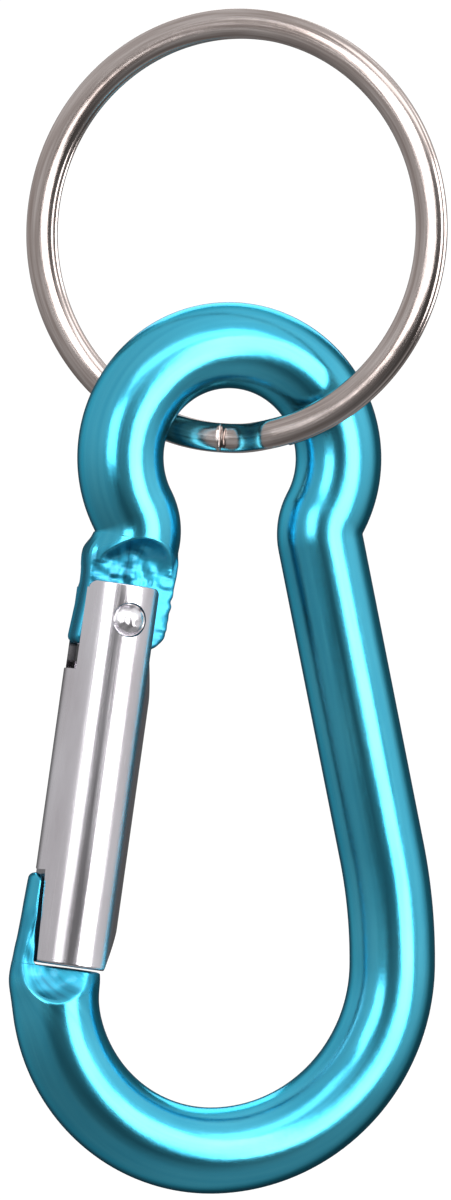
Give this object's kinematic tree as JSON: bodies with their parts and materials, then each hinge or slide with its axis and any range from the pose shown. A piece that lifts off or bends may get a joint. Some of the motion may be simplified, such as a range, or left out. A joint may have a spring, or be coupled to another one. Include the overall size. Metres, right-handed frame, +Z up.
{
  "type": "carabiner keyring",
  "caption": "Pear-shaped carabiner of bent round rod with a sprung tubular gate, hung from a double-coil split ring.",
  "frame": {"origin": "the lowest point of the split ring's inner edge at its top, where the keyring hangs from a hook", "axes": "+Z up along the hanging keyring, +X across the carabiner away from its gate, +Y through its thickness to the back"},
  "size_m": [0.0292, 0.018, 0.0797],
  "materials": {
    "anodised_aluminium": "glossy cyan anodised aluminium",
    "bare_aluminium": "satin drawn aluminium tube",
    "rivet_aluminium": "clenched aluminium rivet, dull bright",
    "black_plastic": "black moulded plastic",
    "spring_steel": "bright drawn spring wire",
    "nickel_plate": "nickel-plated steel wire, warm grey"
  },
  "bodies": {
    "ring": {"split_ring": "nickel_plate"},
    "carabiner": {"carabiner_body": "anodised_aluminium"},
    "gate": {"gate": "bare_aluminium", "hinge_rivet": "rivet_aluminium", "gate_spring": "spring_steel"},
    "plunger": {"spring_plunger": "black_plastic"}
  },
  "joints": [
    {"name": "ring_swivel", "type": "hinge", "parent": "ring", "child": "carabiner", "pos_m": [-0.0002, 0, -0.02825], "axis": [0, 0, 1], "range_deg": [0, 108]},
    {"name": "gate_hinge", "type": "hinge", "parent": "carabiner", "child": "gate", "pos_m": [-0.00776, 0, -0.0392], "axis": [0, -1, 0], "range_deg": [0, 30], "stiffness_Nm_per_rad": 0.03, "springref_deg": -22.92},
    {"name": "plunger_slide", "type": "slide", "parent": "gate", "child": "plunger", "axis": [-0.1322, 0, -0.9912], "range_m": [0, 0.000735], "stiffness_N_per_m": 0.5, "springref_m": -0.0015, "deforming": ["gate_spring"]}
  ],
  "couplings": [
    {"joint": "plunger_slide", "follows": "gate_hinge", "m_per_rad": 0.0014}
  ]
}
